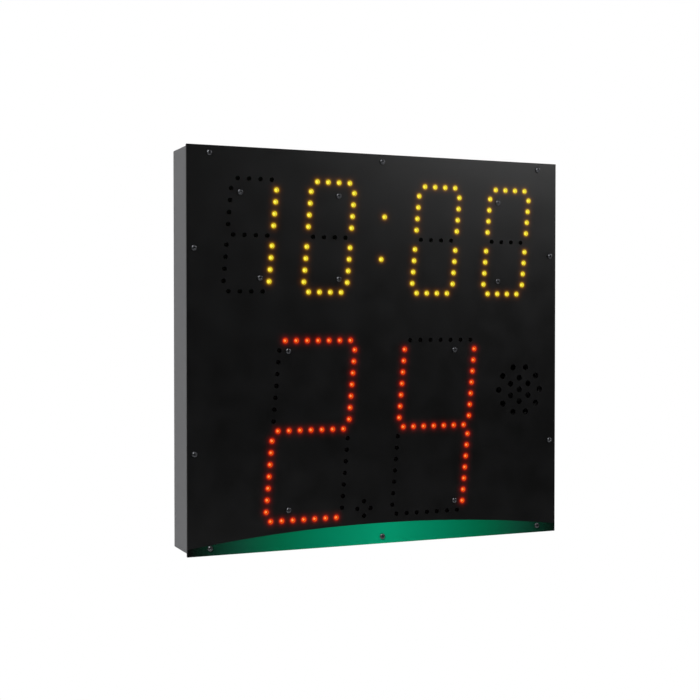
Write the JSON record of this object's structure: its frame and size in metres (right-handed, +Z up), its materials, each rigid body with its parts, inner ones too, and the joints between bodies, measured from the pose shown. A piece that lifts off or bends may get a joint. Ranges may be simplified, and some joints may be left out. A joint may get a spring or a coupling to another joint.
{
  "type": "shot clock",
  "caption": "Wall-hung shot clock with game time: a square black panel with lamp digits, a round loudspeaker grille and a shallow grey sheet case behind it.",
  "frame": {"origin": "on the case's rear face, straight behind the middle of the front panel", "axes": "+X to the right as one looks at the digits, +Y from the front panel into the wall, +Z up"},
  "size_m": [0.56, 0.07, 0.5423],
  "materials": {
    "black_sheet": "matt black powder coat",
    "grey_paint": "satin grey powder coat",
    "dark_steel": "blackened steel",
    "bright_steel": "zinc-plated steel",
    "supply_cover": "plain aluminium sheet",
    "circuit_board": "green solder lacquer",
    "black_plastic": "fine-grained moulding",
    "ferrite": "matt ferrite",
    "cone_paper": "pressed paper",
    "foam": "matt foam",
    "fuse_glass": "clear glass with plated caps",
    "cable_sleeve": "matt sleeve",
    "ribbon": "satin flat cable"
  },
  "bodies": {
    "clock": {"front_panel": "black_sheet", "rear_case": "grey_paint", "panel_screw_1": "dark_steel", "panel_screw_2": "dark_steel", "panel_screw_3": "dark_steel", "panel_screw_4": "dark_steel", "panel_screw_5": "dark_steel", "panel_screw_6": "dark_steel", "panel_screw_7": "dark_steel", "panel_screw_8": "dark_steel", "panel_screw_9": "dark_steel", "panel_screw_10": "dark_steel", "board_screw_1": "dark_steel", "board_screw_2": "dark_steel", "board_screw_3": "dark_steel", "board_screw_4": "dark_steel", "board_screw_5": "dark_steel", "board_screw_6": "dark_steel", "board_screw_7": "dark_steel", "board_screw_8": "dark_steel", "board_screw_9": "dark_steel", "board_screw_10": "dark_steel", "game_time_board": "circuit_board", "shot_time_board": "circuit_board", "control_board": "circuit_board", "power_supply": "supply_cover", "supply_screw_1": "bright_steel", "supply_screw_2": "bright_steel", "speaker_bracket": "bright_steel", "speaker_frame": "dark_steel", "speaker_magnet": "ferrite", "speaker_surround": "foam", "mains_inlet": "black_plastic", "inlet_screw_1": "bright_steel", "inlet_screw_2": "bright_steel", "data_socket": "bright_steel", "data_screw_1": "bright_steel", "data_screw_2": "bright_steel", "mains_lead": "cable_sleeve", "supply_lead": "cable_sleeve", "data_lead": "cable_sleeve", "speaker_lead": "cable_sleeve", "game_ribbon": "ribbon"},
    "rocker": {"power_rocker": "black_plastic"},
    "drawer": {"fuse_drawer": "black_plastic", "fuse": "fuse_glass"},
    "cone": {"speaker_cone": "cone_paper"}
  },
  "joints": [
    {"name": "rocker_tilt", "type": "hinge", "parent": "clock", "child": "rocker", "pos_m": [-0.16448, -0.0321, -0.2652], "axis": [-1, 0, 0], "range_deg": [0, 20]},
    {"name": "drawer_slide", "type": "slide", "parent": "clock", "child": "drawer", "axis": [0, 0, -1], "range_m": [0, 0.016]},
    {"name": "cone_travel", "type": "slide", "parent": "clock", "child": "cone", "axis": [0, -1, 0], "range_m": [-0.0015, 0.0015], "stiffness_N_per_m": 1000}
  ]
}
